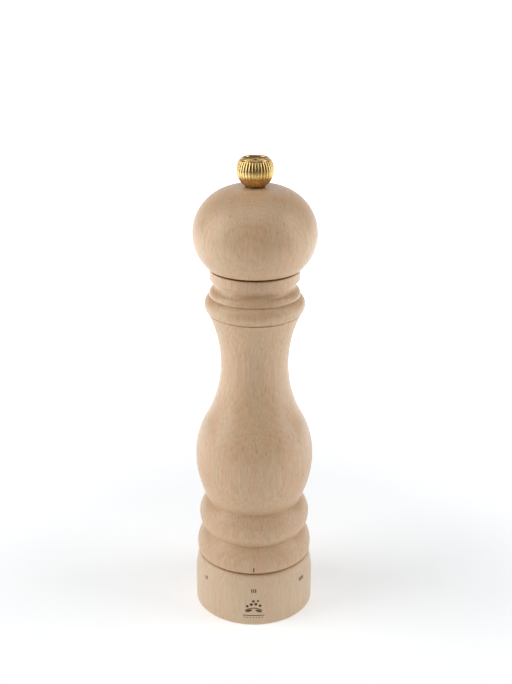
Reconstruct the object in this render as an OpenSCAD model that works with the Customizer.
// Table pepper mill: turned beech body, head and base ring around a steel conical burr mechanism.
// Turning the head turns a square spindle and the inner burr. Turning the base ring drives a helical
// groove that lifts or lowers the inner burr, which sets how coarse the pepper comes out.
// Z is the axis of rotation and points up. The origin is the centre of the face it stands on.

/* [Base ring] */
// Outside diameter of the base ring
ring_d = 57; // [55:0.5:72]
// Height of the base ring
ring_h = 26.6; // [25:0.2:34]
// Height at which the ring's straight side starts to curve in
ring_straight = 14; // [8:0.5:18]
// Radius of the curve above the straight side
ring_crown = 49; // [40:1:80]
// Rounding of the ring's top edge
ring_edge = 1.2; // [0.4:0.1:2]
// Rounding of the ring's bottom edge
ring_foot_edge = 0.8; // [0.3:0.1:1.5]
// Thickness of the ring insert's wall
insert_wall = 6.3; // [6:0.1:7]
// Height of the lip that the ring insert sits on
ring_lip_h = 2.5; // [2:0.25:3]
// Width of that lip
ring_lip_w = 3; // [2:0.25:3.5]
// Gap between the ring and the body
ring_gap = 0.5; // [0.3:0.1:1]

/* [Scale on the ring] */
// Angle between neighbouring settings
mark_pitch = 54; // [50:1:60]
// Number of settings
mark_count = 6; // [4:1:6]
// Setting that faces front when the ring is at rest
mark_rest = 3; // [1:1:4]
// Height of the middle of the tally marks
mark_z = 19; // [14:0.5:22]
// Height of one tally stroke
mark_h = 1.9; // [1:0.1:3]
// Width of one tally stroke
mark_w = 0.55; // [0.3:0.05:0.8]
// Spacing of the strokes in one tally
mark_step = 0.95; // [0.8:0.05:1.4]
// Depth of every engraved mark
mark_depth = 0.25; // [0.1:0.05:0.4]
// Height of the pointer stroke above the body's lower face
pointer_rise = 1.7; // [1:0.1:3]
// Height of the pointer stroke
pointer_h = 2.4; // [1.5:0.1:4]

/* [Body outline] */
// Largest diameter of the lower bead
low_bead_d = 55.1; // [53:0.5:66]
// Height of its widest line above the body's lower face
low_bead_rise = 3.9; // [3:0.1:6]
// Radius of its curve
low_bead_arc = 13; // [11:0.5:16]
// Largest diameter of the upper bead
high_bead_d = 52.8; // [50:0.5:63]
// Height of its widest line above that of the lower bead
high_bead_rise = 16.5; // [14:0.5:19]
// Radius of its curve
high_bead_arc = 10.8; // [10:0.2:13]
// Largest diameter of the belly
belly_d = 55.6; // [46:0.5:67]
// Height of the belly's widest line above that of the upper bead
belly_rise = 31.3; // [26:0.5:38]
// Radius of the belly's curve below its widest line
belly_low_arc = 48.6; // [40:0.5:60]
// Radius of the belly's curve above its widest line
belly_high_arc = 39.5; // [30:0.5:50]
// Smallest diameter of the neck
neck_d = 31.6; // [30:0.2:38]
// Height of the narrowest line above the belly's widest
neck_rise = 46.2; // [40:0.5:56]
// Radius of the neck's curve above its narrowest line
neck_high_arc = 60; // [45:1:80]
// Largest diameter of the collar bead
collar_d = 46.2; // [42:0.5:55]
// Height of its widest line above the narrowest line of the neck
collar_rise = 29.3; // [26:0.5:36]
// Radius of its curve
collar_arc = 4.9; // [4:0.1:6]
// Height of the collar bead below its widest line
collar_low = 3.7; // [3:0.1:4]
// Height of the collar bead above its widest line
collar_high = 4.7; // [3:0.1:4.8]
// Diameter at the foot of the ovolo above the collar bead
ovolo_d = 41.8; // [39:0.2:46]
// Radius of the ovolo
ovolo_arc = 3.4; // [2.5:0.1:4]
// Diameter at the bottom of the groove under the rim
rim_groove_d = 37; // [35:0.2:40]
// Width of that groove, measured from the top of the ovolo
rim_groove_h = 2.85; // [1.5:0.1:4]
// Diameter of the rim
rim_d = 41.2; // [39:0.2:48]
// Height of the rim
rim_h = 6; // [4:0.2:8]
// Rounding of the rim's lower edge
rim_edge = 1.8; // [0.5:0.1:2]

/* [Pepper chamber] */
// Diameter of the bore through the body
bore_d = 24; // [22:0.5:24.5]
// Diameter of the mouth that takes the head's tenon
mouth_d = 28.4; // [27:0.2:29]
// Depth of the mouth
mouth_depth = 10.8; // [8:0.2:13]
// Height of the chamfer at the mouth's edge
mouth_chamfer = 0.6; // [0.3:0.1:1]
// Width of that chamfer
mouth_flare = 0.8; // [0.3:0.1:1.2]

/* [Head] */
// Largest diameter of the head
head_d = 56.2; // [50:0.5:67]
// Height of its widest line above its lower face
head_low_h = 15.6; // [13:0.2:19]
// Radius of the curve below the widest line
head_low_arc = 20.6; // [18:0.2:25]
// Radius of the curve above the widest line
head_high_arc = 21.3; // [18:0.1:25]
// Gap between the head and the body's rim
head_gap = 0.5; // [0.3:0.1:1]
// Length of the tenon that turns in the body's mouth
tenon_h = 10; // [8:0.2:12]
// Clearance around the tenon
tenon_gap = 0.4; // [0.3:0.05:0.6]
// Diameter of the hole for the spindle
head_bore_d = 9; // [8:0.2:12]

/* [Knob] */
// Diameter of the knob's ball
knob_d = 16.6; // [15:0.2:20]
// Height of the ball's centre above the top of the head
knob_rise = 6.9; // [6.5:0.1:7.4]
// Height of the knob's rim above the top of the head
knob_h = 12.9; // [12:0.1:14]
// Number of flutes
flute_count = 32; // [20:1:40]
// Depth of each flute
flute_depth = 0.45; // [0.2:0.05:0.6]
// Radius of each flute's cutter
flute_cut = 0.5; // [0.3:0.05:0.7]
// Depth of the dish in the knob's top
dish_depth = 0.9; // [0.5:0.1:1.5]
// Width of the rim around the dish
dish_rim = 0.9; // [0.6:0.1:1.5]
// Thickness of the washer under the knob
knob_washer_t = 0.6; // [0.4:0.1:1]
// Diameter of the washer under the knob, which sits in a recess in its foot
knob_washer_d = 7.8; // [7:0.1:8]
// Gap between the knob's foot and the head
knob_gap = 0.1; // [0.05:0.05:0.3]
// Clearance around the thread in the knob and in its washer
thread_gap = 0.05; // [0.05:0.01:0.1]
// Room above the spindle's end in the knob
knob_room = 0.6; // [0.4:0.1:1]

/* [Spindle] */
// Width across the flats of the square spindle
square_w = 5; // [4:0.25:5.5]
// How much narrower the thread for the knob is than the square
thread_step = 0; // [0:0.1:0.5]
// Rise of the thread in one turn
thread_pitch = 0.8; // [0.5:0.1:1]
// Length of the threaded end
thread_l = 13; // [11:0.5:15]
// Height of the threaded end above the top of the head
thread_rise = 9; // [8:0.2:10]
// How much narrower the round journal at the lower end is than the square
journal_step = 0.4; // [0.2:0.1:1]
// Clearance around the journal
journal_play = 0.1; // [0.05:0.01:0.15]
// Room above the adjuster's bar, at its highest, for the square's lower end
square_clear = 0.4; // [0.2:0.1:0.6]
// Clearance between the corners of the square and the thrust washer
washer_gap = 0.3; // [0.2:0.05:0.5]
// Clearance of the square in the parts that slide along it
square_gap = 0.1; // [0.05:0.01:0.2]

/* [Housing] */
// Diameter of the hub that the ring turns on
hub_d = 34; // [33:0.5:36]
// Thickness of the hub's wall
hub_wall = 2.5; // [2:0.1:3]
// Height of the hub's lower end above the standing face
hub_foot = 3.6; // [3:0.1:3.8]
// Plastic left outside the screws' heads at the edge of the flange under the body
flange_margin = 0.1; // [0.1:0.05:0.5]
// Thickness of that flange
flange_t = 3; // [2.6:0.1:4]
// Diameter of the barrel pressed into the body
barrel_d = 35; // [34:0.2:36]
// Height of the barrel above the flange
barrel_h = 14; // [12:0.5:16]
// Wall of the barrel at its top
barrel_wall = 2.2; // [2:0.1:3]
// Clearance between the hub and the ring insert
turn_gap = 0.2; // [0.1:0.05:0.3]
// Room above the barrel for the guide bridge and its screws
bridge_room = 3.2; // [3:0.1:4]

/* [Ring retention] */
// Thickness of the retaining ring
clip_t = 1; // [0.8:0.1:1.2]
// Depth of its groove in the hub
clip_groove = 1; // [0.6:0.1:1.2]
// How far it stands out from the hub
clip_proud = 1.8; // [1.4:0.1:2]
// Height of the step that it holds, above the standing face
clip_step_z = 6; // [5.6:0.1:6.2]
// Play between the retaining ring and that step
clip_play = 0.3; // [0.2:0.05:0.4]
// Clearance of the retaining ring in its groove
clip_fit = 0.05; // [0.03:0.01:0.1]
// Room around the retaining ring inside the insert
clip_room = 1; // [0.5:0.1:1.4]
// Angle of the retaining ring's opening
clip_opening = 26; // [20:1:40]
// Diameter of the ears at that opening
clip_ear_d = 3; // [2.6:0.1:3.2]
// Diameter of the hole in each ear
clip_hole_d = 1.1; // [0.8:0.1:1.3]

/* [Grind adjustment] */
// Rise of the helical groove in one turn
cam_pitch = 4; // [3.6:0.1:4.4]
// Diameter of the follower pins
pin_d = 2; // [1.6:0.1:2]
// Depth of the helical groove
cam_depth = 1.8; // [1.4:0.1:2]
// Clearance between the pins and the groove
cam_gap = 0.2; // [0.15:0.05:0.3]
// Height of the lower pin at rest
pin_z = 10; // [9.8:0.1:10.4]
// Width of the adjuster's bar
bar_w = 6; // [5:0.5:8]
// Steel left above and below the pins
pin_cover = 0.6; // [0.5:0.1:0.8]
// Diameter of the adjuster's centre
bar_hub_d = 17; // [14:0.5:20]
// Clearance between the bar and the slots in the hub
slot_gap = 0.2; // [0.1:0.05:0.4]
// Length of each follower pin inside the adjuster's centre
pin_root = 0.5; // [0.3:0.1:1]
// Thickness of the thrust washer
thrust_t = 0.8; // [0.6:0.1:1.2]
// Diameter of the thrust washer
thrust_d = 15; // [12:0.5:17]

/* [Burrs] */
// How much smaller the outer burr's radius is than the hub's bore
burr_room = 0.5; // [0.3:0.1:0.8]
// Height of the outer burr
outer_burr_h = 10; // [9:0.5:10]
// Height of its lower face above the standing face
outer_burr_z = 15.8; // [15.6:0.1:16]
// Smallest diameter inside it
throat_d = 19; // [18:0.2:20]
// Height of its lower cone
throat_rise = 6.2; // [5:0.1:7]
// Slope of the grinding cones, from the axis
cone_angle = 25; // [20:1:28]
// Gap between the cones at the finest setting
fine_gap = 0.15; // [0.1:0.05:0.3]
// Height of the inner burr
inner_burr_h = 15.6; // [14:0.2:16]
// Diameter of the inner burr's top
inner_top_d = 12; // [11.6:0.2:13]
// Number of fine teeth
fine_teeth = 28; // [20:2:36]
// Number of coarse teeth
coarse_teeth = 7; // [5:1:9]
// Size of the fine teeth
fine_tooth = 0.8; // [0.5:0.1:1]
// Size of the outer burr's coarse teeth
coarse_tooth = 1.8; // [1:0.1:2]
// Size of the inner burr's coarse teeth
feed_tooth = 2; // [1.2:0.1:2.2]
// How far these teeth rise out of the inner burr's top edge
feed_lean = 1.2; // [0.8:0.1:1.6]
// Width of the ledge that the outer burr is pushed up against
burr_ledge = 1.4; // [1:0.1:2]

/* [Guide bridge] */
// Width of the guide bridge
bridge_w = 9; // [8:0.5:10]
// Thickness of the guide bridge
bridge_t = 1.6; // [1.2:0.1:2]
// Width of the ring around the bridge's hole
bridge_ring_w = 3; // [2:0.2:4]
// Clearance between the bridge's ends and the body
bridge_gap = 0.3; // [0.1:0.1:0.6]
// Diameter of the shaft collar
collar_boss_d = 8.8; // [8.4:0.1:9.4]
// Clearance between the shaft collar and the bridge
journal_gap = 0.05; // [0.03:0.01:0.1]
// Height of the shaft collar above the bridge
collar_boss_h = 4; // [3.4:0.2:5]
// Diameter of the shaft collar's flange
collar_flange_d = 12; // [11.6:0.2:13]
// Thickness of that flange
collar_flange_t = 1.2; // [1:0.1:1.6]
// Play between the collar's flange and the bridge
collar_play = 0.2; // [0.1:0.05:0.3]
// Diameter of the pin through the collar
cross_pin_d = 1.5; // [1:0.1:1.6]
// How far each end of that pin lies inside the collar
cross_pin_in = 0.2; // [0.1:0.05:0.4]

/* [Spring] */
// Wire diameter of the return spring
spring_wire = 0.9; // [0.7:0.1:1]
// Inside diameter of the return spring
spring_bore = 9.2; // [9:0.1:9.6]
// Turns of the return spring
spring_turns = 5; // [4:1:6]

/* [Detents] */
// Diameter of the detent balls
ball_d = 3; // [2.5:0.1:3.2]
// Distance of their centres outside the hub
detent_out = 3.25; // [3.1:0.05:3.4]
// Clearance at the sides of the balls
ball_side_gap = 0.1; // [0.05:0.05:0.2]
// Clearance below the balls
ball_gap = 0.05; // [0.03:0.01:0.1]
// Depth of the track that they roll in
track_depth = 0.9; // [0.6:0.1:1.1]
// Depth of the notch for each setting, below the track
notch_depth = 0.4; // [0.2:0.05:0.5]
// Diameter of each notch at the track
notch_d = 1.9; // [1.4:0.1:2.2]
// Diameter of each notch at its bottom
notch_floor_d = 0.8; // [0.5:0.1:1.2]
// Plastic around the balls and their springs
boss_wall = 1.2; // [0.8:0.1:1.4]
// Plastic above their springs
boss_roof = 0.8; // [0.5:0.1:1.2]
// Wire diameter of the detent springs
detent_wire = 0.35; // [0.3:0.05:0.4]
// Mean diameter of the detent springs
detent_coil_d = 1.9; // [1.6:0.1:2.2]
// Turns of the detent springs
detent_turns = 6; // [4:1:8]
// Length of the detent springs
detent_spring_l = 5; // [4:0.2:6]

/* [Screws] */
// Shank diameter of the wood screws
screw_d = 2.6; // [2.2:0.1:2.8]
// Head diameter of the wood screws
screw_head_d = 5; // [4.4:0.1:5.2]
// Length of the wood screws
screw_l = 10; // [8:0.5:10.5]
// Diameter of every wood screw's tip
screw_tip_d = 0.5; // [0.4:0.1:0.8]
// Distance of the housing screws outside the hub
screw_out = 3.6; // [3.4:0.05:3.8]
// Depth of their heads below the flange's lower face
screw_sink = 0.2; // [0.1:0.05:0.4]
// Width of the slots in all screw heads
slot_w = 0.5; // [0.4:0.1:0.8]
// Depth of those slots
slot_h = 0.5; // [0.3:0.1:0.6]
// Shank diameter of the bridge screws
bridge_screw_d = 2; // [1.8:0.1:2.2]
// Length of the bridge screws below the bridge
bridge_screw_l = 6; // [5:0.5:8]
// Overhang of the bridge screws' heads
bridge_head_w = 0.7; // [0.5:0.1:1]
// Height of the bridge screws' heads
bridge_head_h = 1.2; // [0.8:0.1:1.4]
// Distance of the bridge screws' centres inside the body's bore
bridge_screw_in = 3; // [2.6:0.1:3.2]
// Plastic around the bridge screws
bridge_pad_wall = 1.5; // [1:0.1:2]
// Thickness of the drive plate
drive_t = 1.5; // [1.2:0.1:2]
// Diameter of the drive plate
drive_d = 22; // [20:0.5:22]
// Distance of its screws from the axis
drive_screw_r = 7.8; // [7:0.1:8]

/* [Hidden] */
$fn = 128;
turned_fn = 180;
// Facets around the wire, and along each turn, of the two kinds of spring
spring_sides = 8;
spring_steps = 14;
detent_sides = 5;
detent_steps = 10;
// Small and large overshoot of what is cut away
eps = 0.01;
over = 1;

beech = "#d9bd98";
black_plastic = "#26262a";
steel = "#b8bcc2";
dark_steel = "#74787e";
brass = "#d6a84a";
nylon = "#eceae2";

// Base ring
ring_r = ring_d / 2;
crown_c = [ring_r - ring_crown, ring_straight];
ring_top_c = [crown_c[0] + sqrt(pow(ring_crown - ring_edge, 2) - pow(ring_h - ring_edge - crown_c[1], 2)),
    ring_h - ring_edge];
crown_end = ring_straight + (ring_top_c[1] - crown_c[1]) * ring_crown / (ring_crown - ring_edge);

// Body outline, stacked upwards from the body's lower face
body_z = ring_h + ring_gap;
low_bead_z = body_z + low_bead_rise;
high_bead_z = low_bead_z + high_bead_rise;
belly_z = high_bead_z + belly_rise;
neck_z = belly_z + neck_rise;
collar_z = neck_z + collar_rise;
crease_z = collar_z - collar_low;
ovolo_z = collar_z + collar_high;
ovolo_top = ovolo_z + sqrt(pow(ovolo_arc, 2) - pow(rim_groove_d / 2 - ovolo_d / 2 + ovolo_arc, 2));
rim_z = ovolo_top + rim_groove_h;
body_top = rim_z + rim_h;
low_bead_r = low_bead_d / 2;
high_bead_r = high_bead_d / 2;
belly_r = belly_d / 2;
neck_r = neck_d / 2;
collar_r = collar_d / 2;
rim_r = rim_d / 2;
// The neck's lower curve is tangent to the belly's upper one
neck_reach = neck_r - belly_r + belly_high_arc;
neck_low_arc = (pow(neck_reach, 2) + pow(neck_rise, 2) - pow(belly_high_arc, 2))
    / (2 * (belly_high_arc - neck_reach));
blend_share = belly_high_arc / (belly_high_arc + neck_low_arc);
blend_z = belly_z + neck_rise * blend_share;
blend_r = belly_r - belly_high_arc + (neck_reach + neck_low_arc) * blend_share;

// Surface under the marks and the pointer
mark_r = crown_c[0] + sqrt(pow(ring_crown, 2) - pow(mark_z - ring_straight, 2));
pointer_z = body_z + pointer_rise + pointer_h / 2;
pointer_r = low_bead_r - low_bead_arc + sqrt(pow(low_bead_arc, 2) - pow(pointer_z - low_bead_z, 2));

// Chambers inside the body
bore_r = bore_d / 2;
barrel_r = barrel_d / 2;
barrel_z = body_z + flange_t;
barrel_top = barrel_z + barrel_h;
pocket_top = barrel_top + bridge_room;

// Head and tenon
head_z = body_top + head_gap;
head_wide_z = head_z + head_low_h;
head_top = head_wide_z + head_high_arc;
head_r = head_d / 2;
tenon_z = head_z - tenon_h;
mouth_z = body_top - mouth_depth;
plate_z = tenon_z - drive_t;

// Knob
knob_r = knob_d / 2;
knob_c = head_top + knob_rise;
knob_top = head_top + knob_h;
knob_foot = head_top + knob_gap;
knob_rim_r = sqrt(pow(knob_r, 2) - pow(knob_top - knob_c, 2));
thread_d = square_w - thread_step;
thread_top = head_top + thread_rise;

// Hub, ring insert and retaining ring, with the screws and detents around the hub
hub_r = hub_d / 2;
detent_r = hub_r + detent_out;
screw_r = hub_r + screw_out;
flange_r = screw_r + screw_head_d / 2 + flange_margin;
hub_bore_r = hub_r - hub_wall;
insert_bore_r = hub_r + turn_gap;
insert_r = insert_bore_r + insert_wall;
clip_r = hub_r - clip_groove;
clip_z = clip_step_z - clip_t - clip_play;
clip_room_r = hub_r + clip_proud + clip_room;

// Grind adjustment: lift per degree of ring rotation, and the travel to either side of rest
lift_rate = cam_pitch / 360;
up_angle = (mark_rest - 1) * mark_pitch;
down_angle = (mark_count - mark_rest) * mark_pitch;
lift_up = up_angle * lift_rate;
pin_r = pin_d / 2;
bar_z = pin_z - pin_r - pin_cover;
bar_top = pin_z + cam_pitch / 2 + pin_r + pin_cover;
bar_r = hub_r - slot_gap;
pin_end_r = insert_bore_r + cam_depth - cam_gap;
slot_top = bar_top + lift_up + 2 * slot_gap;
thrust_z = bar_top;

// Burrs. The inner cone is the outer one moved in by the gap at rest.
burr_z = thrust_z + thrust_t;
burr_top = burr_z + inner_burr_h;
cone_slope = tan(cone_angle);
throat_r = throat_d / 2;
throat_z = outer_burr_z + throat_rise;
outer_burr_r = hub_bore_r - burr_room;
outer_low_r = throat_r + throat_rise * cone_slope;
rest_gap = fine_gap + lift_up * cone_slope;
inner_throat_r = throat_r - rest_gap;
inner_low_r = inner_throat_r + (throat_z - burr_z) * cone_slope;
outer_burr_top = outer_burr_z + outer_burr_h;

// Spindle, bridge and spring
square_z = bar_top + lift_up + square_clear;
journal_r = (square_w - journal_step) / 2;
bridge_z = barrel_top;
bridge_top = bridge_z + bridge_t;
boss_r = collar_boss_d / 2;
flange_top = bridge_z - collar_play;
collar_z0 = flange_top - collar_flange_t;
collar_top = bridge_top + collar_boss_h;
cross_pin_z = (bridge_top + collar_top) / 2 + collar_play;
bridge_screw_y = barrel_r - bridge_screw_in;
bridge_l = 2 * (barrel_r - bridge_gap);
spring_r = (spring_bore + spring_wire) / 2;

// Detents and screws
ball_r = ball_d / 2;
track_floor = ring_h - track_depth;
ball_z = track_floor + ball_gap + ball_r;
spring_foot = ball_z + ball_r;
detent_boss_d = ball_d + 2 * boss_wall;
detent_boss_top = spring_foot + detent_spring_l + boss_roof;
screw_head_z = body_z + screw_sink;

// ---------- shared shapes ----------

// Area from the axis out to a convex arc whose widest point is (r, z), between two heights
module bulge(r, z, arc, low, high) {
    intersection() {
        translate([r - arc, z]) circle(arc);
        translate([0, low]) square([r + 1, high - low]);
    }
}

// Area from the axis out to a concave arc whose narrowest point is (r, z), between two heights
module waist(r, z, arc, low, high, out) {
    difference() {
        translate([0, low]) square([out, high - low]);
        translate([r + arc, z]) circle(arc, $fn = 256);
    }
}

// Plain ring of rectangular section
module tube(r, bore, z, h) {
    translate([0, 0, z])
        difference() {
            cylinder(r = r, h = h);
            translate([0, 0, -eps]) cylinder(r = bore, h = h + 2 * eps);
        }
}

module square_hole(w, z, h) {
    translate([-w / 2, -w / 2, z]) cube([w, w, h]);
}

// Row of upright strokes let into a surface of radius r, centred on an azimuth from the front
module strokes(count, azimuth, r, z, h) {
    for (i = [0 : count - 1])
        rotate([0, 0, azimuth - 90])
            translate([r - mark_depth, (i - (count - 1) / 2) * mark_step - mark_w / 2, z - h / 2])
                cube([mark_depth + over, mark_w, h]);
}

// Tube of round wire along a helix
module coil(r, wire, turns, z0, z1, sides, per_turn) {
    n = turns * per_turn;
    rise = (z1 - z0 - wire) / n;
    points = [for (i = [0 : n], k = [0 : sides - 1])
        let (a = i * 360 / per_turn, b = k * 360 / sides, q = r + wire / 2 * cos(b))
            [q * cos(a), q * sin(a), z0 + wire / 2 + rise * i + wire / 2 * sin(b)]];
    skin = [for (i = [0 : n - 1], k = [0 : sides - 1])
        let (j = (k + 1) % sides, a = i * sides + k, b = i * sides + j, c = b + sides, d = a + sides)
            each [[a, b, c], [a, c, d]]];
    first = [for (k = [sides - 1 : -1 : 0]) k];
    last = [for (k = [0 : sides - 1]) n * sides + k];
    polyhedron(points, concat([first], skin, [last]));
}

// Countersunk screw pointing up, its head's face at the origin
module flat_screw(shank, head, l) {
    taper = (head - shank) / 2;
    difference() {
        union() {
            cylinder(d1 = head, d2 = shank, h = taper);
            cylinder(d = shank, h = l - shank);
            translate([0, 0, l - shank]) cylinder(d1 = shank, d2 = screw_tip_d, h = shank);
        }
        for (a = [0, 90])
            rotate([0, 0, a]) translate([-head * 0.3, -slot_w / 2, -eps]) cube([head * 0.6, slot_w, slot_h]);
    }
}

// Space taken by the same screw
module screw_hole(shank, head, l) {
    taper = (head - shank) / 2;
    translate([0, 0, -over]) cylinder(d = head, h = over + eps);
    cylinder(d1 = head, d2 = shank, h = taper);
    cylinder(d = shank, h = l);
}

module at_housing_screws() {
    for (a = [90, 210, 330])
        rotate([0, 0, a]) translate([screw_r, 0, screw_head_z]) children();
}

module at_detents() {
    for (a = [0, 180])
        rotate([0, 0, a]) translate([detent_r, 0, 0]) children();
}

// V-shaped tooth gap from point a to point b, each given as [radius, height]
module tooth_gap(a, b, size) {
    l = norm(b - a);
    tilt = atan2(b[0] - a[0], b[1] - a[1]);
    translate([a[0], 0, a[1]])
        rotate([0, tilt, 0])
            rotate([0, 0, 45])
                translate([-size / 2, -size / 2, -over]) cube([size, size, l + 2 * over]);
}

// ---------- wood ----------

module body_outline() {
    square([neck_r - 0.5, body_top - body_z]);
    translate([0, -body_z]) {
        bulge(low_bead_r, low_bead_z, low_bead_arc, body_z, high_bead_z);
        bulge(high_bead_r, high_bead_z, high_bead_arc, low_bead_z, belly_z);
        bulge(belly_r, belly_z, belly_low_arc, high_bead_z, belly_z);
        bulge(belly_r, belly_z, belly_high_arc, belly_z, blend_z);
        waist(neck_r, neck_z, neck_low_arc, blend_z, neck_z, blend_r);
        waist(neck_r, neck_z, neck_high_arc, neck_z, crease_z, collar_r - 1);
        bulge(collar_r, collar_z, collar_arc, crease_z, ovolo_z);
        translate([0, crease_z]) square([collar_r - collar_arc, ovolo_z - crease_z]);
        bulge(ovolo_d / 2, ovolo_z, ovolo_arc, ovolo_z, ovolo_top);
        translate([0, ovolo_z]) square([rim_groove_d / 2, body_top - ovolo_z]);
        translate([0, rim_z]) square([rim_r - rim_edge, rim_h]);
        translate([0, rim_z + rim_edge]) square([rim_r, rim_h - rim_edge]);
        translate([rim_r - rim_edge, rim_z + rim_edge]) circle(rim_edge);
    }
}

module body_wood() {
    color(beech)
        difference() {
            translate([0, 0, body_z]) rotate_extrude($fn = turned_fn) body_outline();
            translate([0, 0, body_z - eps]) cylinder(r = bore_r, h = body_top - body_z + 2 * eps);
            translate([0, 0, body_z - eps]) cylinder(r = flange_r, h = flange_t + eps);
            translate([0, 0, body_z]) cylinder(r = barrel_r, h = pocket_top - body_z);
            translate([0, 0, pocket_top - eps]) cylinder(r1 = barrel_r, r2 = bore_r, h = barrel_r - bore_r);
            translate([0, 0, mouth_z]) cylinder(d = mouth_d, h = mouth_depth + eps);
            translate([0, 0, body_top - mouth_chamfer])
                cylinder(d1 = mouth_d, d2 = mouth_d + 2 * mouth_flare, h = mouth_chamfer + eps);
            at_housing_screws() cylinder(d = screw_d, h = screw_l);
            at_detents() translate([0, 0, body_z]) cylinder(d = detent_boss_d, h = detent_boss_top - body_z);
            strokes(1, 0, pointer_r, pointer_z, pointer_h);
        }
}

module base_ring() {
    color(beech)
        difference() {
            rotate_extrude($fn = turned_fn) {
                translate([0, ring_foot_edge]) square([ring_r, ring_straight - ring_foot_edge]);
                square([ring_r - ring_foot_edge, ring_straight]);
                translate([ring_r - ring_foot_edge, ring_foot_edge]) circle(ring_foot_edge);
                bulge(ring_r, ring_straight, ring_crown, ring_straight, crown_end);
                translate(ring_top_c) circle(ring_edge);
                translate([0, ring_straight]) square([ring_top_c[0], ring_h - ring_straight]);
            }
            translate([0, 0, ring_lip_h]) cylinder(r = insert_r, h = ring_h);
            translate([0, 0, -eps]) cylinder(r = insert_r - ring_lip_w, h = ring_h);
            for (n = [1 : mark_count])
                strokes(n, (n - mark_rest) * mark_pitch, mark_r, mark_z, mark_h);
        }
}

module head_wood() {
    color(beech)
        difference() {
            union() {
                rotate_extrude($fn = turned_fn) {
                    bulge(head_r, head_wide_z, head_low_arc, head_z, head_wide_z);
                    bulge(head_r, head_wide_z, head_high_arc, head_wide_z, head_top);
                    translate([0, head_z]) square([head_r - head_high_arc, head_top - head_z]);
                }
                translate([0, 0, tenon_z]) cylinder(r = mouth_d / 2 - tenon_gap, h = tenon_h + 1);
            }
            translate([0, 0, tenon_z - eps]) cylinder(d = head_bore_d, h = head_top - tenon_z + 2 * eps);
            for (s = [-1, 1])
                translate([s * drive_screw_r, 0, plate_z]) cylinder(d = screw_d, h = screw_l);
        }
}

// ---------- parts fixed in the body ----------

// Space of the helical groove: it falls as the angle grows, and serves both follower pins, which
// are half a turn apart
module helix_groove() {
    margin = 8;
    steps = 84;
    start = -up_angle - 180 - margin;
    span = up_angle + down_angle + 180 + 2 * margin;
    half = pin_r + cam_gap;
    inner = insert_bore_r - over;
    outer = insert_bore_r + cam_depth;
    section = [[inner, -half], [outer, -half], [outer, half], [inner, half]];
    points = [for (i = [0 : steps], k = [0 : 3])
        let (a = start + span * i / steps)
            [section[k][0] * cos(a), section[k][0] * sin(a), pin_z - lift_rate * a + section[k][1]]];
    skin = [for (i = [0 : steps - 1], k = [0 : 3])
        let (j = (k + 1) % 4) [i * 4 + k, i * 4 + j, i * 4 + 4 + j, i * 4 + 4 + k]];
    polyhedron(points, concat([[3, 2, 1, 0]], skin, [[for (k = [0 : 3]) steps * 4 + k]]));
}

module mechanism_housing() {
    color(black_plastic)
        difference() {
            union() {
                translate([0, 0, hub_foot]) cylinder(r = hub_r, h = body_z - hub_foot + eps);
                translate([0, 0, body_z]) cylinder(r = flange_r, h = flange_t);
                translate([0, 0, body_z]) cylinder(r = barrel_r, h = barrel_top - body_z);
                at_detents() translate([0, 0, body_z])
                    cylinder(d = detent_boss_d, h = detent_boss_top - body_z);
            }
            translate([0, 0, hub_foot - eps]) cylinder(r = hub_bore_r, h = outer_burr_z - hub_foot + 2 * eps);
            translate([0, 0, outer_burr_z]) cylinder(r = outer_burr_r, h = outer_burr_h);
            difference() {
                translate([0, 0, outer_burr_top - eps])
                    cylinder(r1 = outer_burr_r - burr_ledge, r2 = barrel_r - barrel_wall,
                        h = barrel_top - outer_burr_top + 2 * eps);
                for (s = [-1, 1])
                    translate([0, s * bridge_screw_y, barrel_z])
                        cylinder(d = bridge_screw_d + 2 * bridge_pad_wall, h = barrel_h);
            }
            for (s = [-1, 1])
                translate([0, s * bridge_screw_y, barrel_top - bridge_screw_l])
                    cylinder(d = bridge_screw_d, h = bridge_screw_l + eps);
            at_housing_screws() screw_hole(screw_d, screw_head_d, screw_l);
            at_detents() translate([0, 0, body_z - eps])
                cylinder(d = ball_d + 2 * ball_side_gap, h = spring_foot + detent_spring_l - body_z);
            tube(hub_r + over, clip_r, clip_z - clip_fit, clip_t + 2 * clip_fit);
            translate([-hub_r - over, -bar_w / 2 - slot_gap, hub_foot - eps])
                cube([2 * (hub_r + over), bar_w + 2 * slot_gap, slot_top - hub_foot]);
        }
}

module housing_screws() {
    color(steel) at_housing_screws() flat_screw(screw_d, screw_head_d, screw_l);
}

module outer_burr() {
    color(dark_steel)
        difference() {
            tube(outer_burr_r, throat_r - eps, outer_burr_z, outer_burr_h);
            translate([0, 0, outer_burr_z - eps])
                cylinder(r1 = outer_low_r, r2 = throat_r, h = throat_rise + eps);
            translate([0, 0, throat_z])
                cylinder(r1 = throat_r, r2 = outer_burr_r - burr_ledge, h = outer_burr_top - throat_z + eps);
            for (i = [0 : fine_teeth - 1])
                rotate([0, 0, i * 360 / fine_teeth])
                    tooth_gap([outer_low_r, outer_burr_z], [throat_r, throat_z], fine_tooth);
            for (i = [0 : coarse_teeth - 1])
                rotate([0, 0, i * 360 / coarse_teeth])
                    tooth_gap([throat_r, throat_z], [outer_burr_r - burr_ledge, outer_burr_top],
                        coarse_tooth);
        }
}

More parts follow.
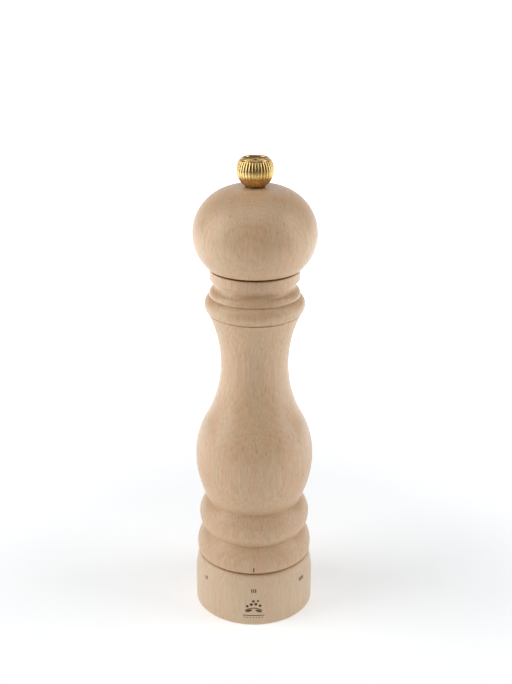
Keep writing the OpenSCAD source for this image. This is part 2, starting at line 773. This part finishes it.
module guide_bridge() {
    color(steel)
        difference() {
            translate([0, 0, bridge_z])
                intersection() {
                    cylinder(d = bridge_l, h = bridge_t);
                    union() {
                        translate([-bridge_w / 2, -bridge_l / 2, 0]) cube([bridge_w, bridge_l, bridge_t]);
                        cylinder(r = boss_r + bridge_ring_w, h = bridge_t);
                    }
                }
            translate([0, 0, bridge_z - eps]) cylinder(r = boss_r + journal_gap, h = bridge_t + 2 * eps);
            for (s = [-1, 1])
                translate([0, s * bridge_screw_y, bridge_z - eps])
                    cylinder(d = bridge_screw_d, h = bridge_t + 2 * eps);
        }
}

module bridge_screws() {
    color(steel)
        for (s = [-1, 1])
            translate([0, s * bridge_screw_y, 0])
                difference() {
                    union() {
                        translate([0, 0, bridge_z - bridge_screw_l])
                            cylinder(d = bridge_screw_d, h = bridge_screw_l + bridge_t + eps);
                        translate([0, 0, bridge_top])
                            cylinder(d = bridge_screw_d + 2 * bridge_head_w, h = bridge_head_h);
                    }
                    translate([-bridge_screw_d - over, -slot_w / 2, bridge_top + bridge_head_h - slot_h])
                        cube([2 * (bridge_screw_d + over), slot_w, slot_h + eps]);
                }
}

// The balls are drawn at the height at which they roll between the notches
module detent_balls() {
    color(steel) at_detents() translate([0, 0, ball_z]) sphere(r = ball_r, $fn = 48);
}

module detent_springs() {
    color(steel)
        at_detents()
            coil(detent_coil_d / 2, detent_wire, detent_turns, spring_foot, spring_foot + detent_spring_l,
                detent_sides, detent_steps);
}

module retaining_ring() {
    outer = hub_r + clip_proud;
    reach = 2 * outer;
    half = clip_opening / 2;
    color(dark_steel)
        translate([0, 0, clip_z])
            difference() {
                union() {
                    tube(outer, clip_r, 0, clip_t);
                    at_ears() cylinder(d = clip_ear_d, h = clip_t);
                }
                translate([0, 0, -eps]) cylinder(r = clip_r, h = clip_t + 2 * eps);
                translate([0, 0, -eps])
                    linear_extrude(clip_t + 2 * eps)
                        polygon([[0, 0], [-reach * sin(half), reach * cos(half)],
                            [reach * sin(half), reach * cos(half)]]);
                at_ears() translate([0, 0, -eps]) cylinder(d = clip_hole_d, h = clip_t + 2 * eps);
            }
}

// Both ears of the retaining ring, beside its opening at the back
module at_ears() {
    for (s = [-1, 1])
        rotate([0, 0, 90 + s * clip_opening / 2])
            translate([(clip_r + hub_r + clip_proud) / 2, s * clip_ear_d * 0.4, 0]) children();
}

// ---------- the selector ring's insert ----------

module ring_insert() {
    color(black_plastic)
        difference() {
            tube(insert_r, insert_bore_r, ring_lip_h, ring_h - ring_lip_h);
            translate([0, 0, ring_lip_h - eps])
                cylinder(r = clip_room_r, h = clip_step_z - ring_lip_h + eps);
            helix_groove();
            translate([0, 0, track_floor]) rotate_extrude() {
                translate([detent_r - ball_r - ball_side_gap, 0])
                    square([ball_d + 2 * ball_side_gap, ring_h]);
            }
            for (n = [1 : mark_count])
                for (a = [0, 180])
                    rotate([0, 0, a + (n - mark_rest) * mark_pitch])
                        translate([detent_r, 0, track_floor - notch_depth])
                            cylinder(d1 = notch_floor_d, d2 = notch_d, h = notch_depth + eps);
        }
}

// ---------- grind adjustment ----------

module adjuster_bar() {
    color(steel)
        difference() {
            translate([0, 0, bar_z])
                intersection() {
                    cylinder(r = bar_r, h = bar_top - bar_z);
                    union() {
                        translate([-bar_r, -bar_w / 2, 0]) cube([2 * bar_r, bar_w, bar_top - bar_z]);
                        cylinder(d = bar_hub_d, h = bar_top - bar_z);
                    }
                }
            translate([0, 0, bar_z - eps])
                cylinder(r = journal_r + journal_play, h = bar_top - bar_z + 2 * eps);
            at_pins() rotate([0, 90, 0]) cylinder(d = pin_d, h = bar_r - bar_hub_d / 2 + over);
        }
}

// The second pin sits half a turn further along the groove, so it is half a pitch higher
module at_pins() {
    translate([bar_hub_d / 2 - pin_root, 0, pin_z]) children();
    rotate([0, 0, 180]) translate([bar_hub_d / 2 - pin_root, 0, pin_z + cam_pitch / 2]) children();
}

module follower_pins() {
    color(steel) at_pins() rotate([0, 90, 0]) cylinder(d = pin_d, h = pin_end_r - bar_hub_d / 2 + pin_root);
}

module thrust_washer() {
    color(nylon) tube(thrust_d / 2, square_w / sqrt(2) + washer_gap, thrust_z, thrust_t);
}

// ---------- parts that turn with the head ----------

module spindle() {
    plain_top = thread_top - thread_l;
    foot = bar_z + square_clear / 2;
    color(steel) {
        translate([0, 0, foot]) cylinder(r = journal_r, h = square_z - foot + eps);
        difference() {
            square_hole(square_w, square_z, plain_top - square_z);
            cross_hole(square_w + over);
        }
        translate([0, 0, plain_top - eps]) cylinder(d = thread_d - thread_pitch, h = thread_l + eps);
        for (z = [plain_top : thread_pitch : thread_top - thread_pitch])
            translate([0, 0, z]) {
                cylinder(d1 = thread_d - thread_pitch, d2 = thread_d, h = thread_pitch / 2);
                translate([0, 0, thread_pitch / 2])
                    cylinder(d1 = thread_d, d2 = thread_d - thread_pitch, h = thread_pitch / 2);
            }
    }
}

module spindle_collar() {
    color(dark_steel)
        difference() {
            union() {
                translate([0, 0, collar_z0]) cylinder(r = boss_r, h = collar_top - collar_z0);
                translate([0, 0, collar_z0]) cylinder(d = collar_flange_d, h = collar_flange_t);
            }
            square_hole(square_w, collar_z0 - eps, collar_top - collar_z0 + 2 * eps);
            cross_hole(collar_boss_d + over);
        }
}

module cross_hole(l) {
    translate([0, 0, cross_pin_z]) rotate([90, 0, 0]) cylinder(d = cross_pin_d, h = l, center = true);
}

module collar_pin() {
    color(steel) cross_hole(collar_boss_d - 2 * cross_pin_in);
}

module return_spring() {
    color(steel) coil(spring_r, spring_wire, spring_turns, burr_top, collar_z0, spring_sides, spring_steps);
}

module inner_burr() {
    color(dark_steel)
        difference() {
            translate([0, 0, burr_z])
                rotate_extrude()
                    polygon([[0, 0], [inner_low_r, 0], [inner_throat_r, throat_z - burr_z],
                        [inner_top_d / 2, inner_burr_h], [0, inner_burr_h]]);
            square_hole(square_w + 2 * square_gap, burr_z - eps, inner_burr_h + 2 * eps);
            for (i = [0 : fine_teeth - 1])
                rotate([0, 0, i * 360 / fine_teeth])
                    tooth_gap([inner_low_r, burr_z], [inner_throat_r, throat_z], fine_tooth);
            for (i = [0 : coarse_teeth - 1])
                rotate([0, 0, i * 360 / coarse_teeth])
                    tooth_gap([inner_throat_r, throat_z], [inner_top_d / 2 + feed_lean, burr_top],
                        feed_tooth);
        }
}

module drive_plate() {
    color(steel)
        difference() {
            translate([0, 0, plate_z]) cylinder(d = drive_d, h = drive_t);
            square_hole(square_w + 2 * square_gap, plate_z - eps, drive_t + 2 * eps);
            for (s = [-1, 1])
                translate([s * drive_screw_r, 0, plate_z]) screw_hole(screw_d, screw_head_d, drive_t + 1);
        }
}

module drive_plate_screws() {
    color(steel)
        for (s = [-1, 1])
            translate([s * drive_screw_r, 0, plate_z]) flat_screw(screw_d, screw_head_d, screw_l);
}

module knob_washer() {
    color(nylon) tube(knob_washer_d / 2, thread_d / 2 + thread_gap, head_top, knob_washer_t);
}

module knob() {
    // The flutes run out through the foot and stop below the rim
    flute_margin = 5;
    flute_low = asin((knob_foot - knob_c) / knob_r) - flute_margin;
    flute_high = asin((knob_top - knob_c) / knob_r) - flute_margin;
    flute_r = knob_r + flute_cut - flute_depth;
    color(brass)
        difference() {
            rotate_extrude()
                difference() {
                    intersection() {
                        translate([0, knob_c]) circle(knob_r);
                        translate([0, knob_foot]) square([knob_r, knob_top - knob_foot]);
                    }
                    translate([0, knob_top - dish_depth]) square([knob_rim_r - dish_rim, dish_depth + 1]);
                }
            translate([0, 0, knob_foot - eps])
                cylinder(r = thread_d / 2 + thread_gap, h = thread_top - knob_foot + knob_room);
            translate([0, 0, knob_foot - eps])
                cylinder(d = knob_washer_d + 2 * knob_gap, h = head_top + knob_washer_t - knob_foot + eps);
            for (i = [0 : flute_count - 1])
                rotate([0, 0, i * 360 / flute_count])
                    translate([0, 0, knob_c]) rotate([90, 0, 0]) rotate([0, 0, flute_low])
                        rotate_extrude(angle = flute_high - flute_low)
                            translate([flute_r, 0]) circle(flute_cut);
        }
}

body_wood();
mechanism_housing();
housing_screws();
outer_burr();
guide_bridge();
bridge_screws();
detent_balls();
detent_springs();
retaining_ring();
base_ring();
ring_insert();
adjuster_bar();
follower_pins();
thrust_washer();
spindle();
spindle_collar();
collar_pin();
return_spring();
inner_burr();
head_wood();
drive_plate();
drive_plate_screws();
knob_washer();
knob();
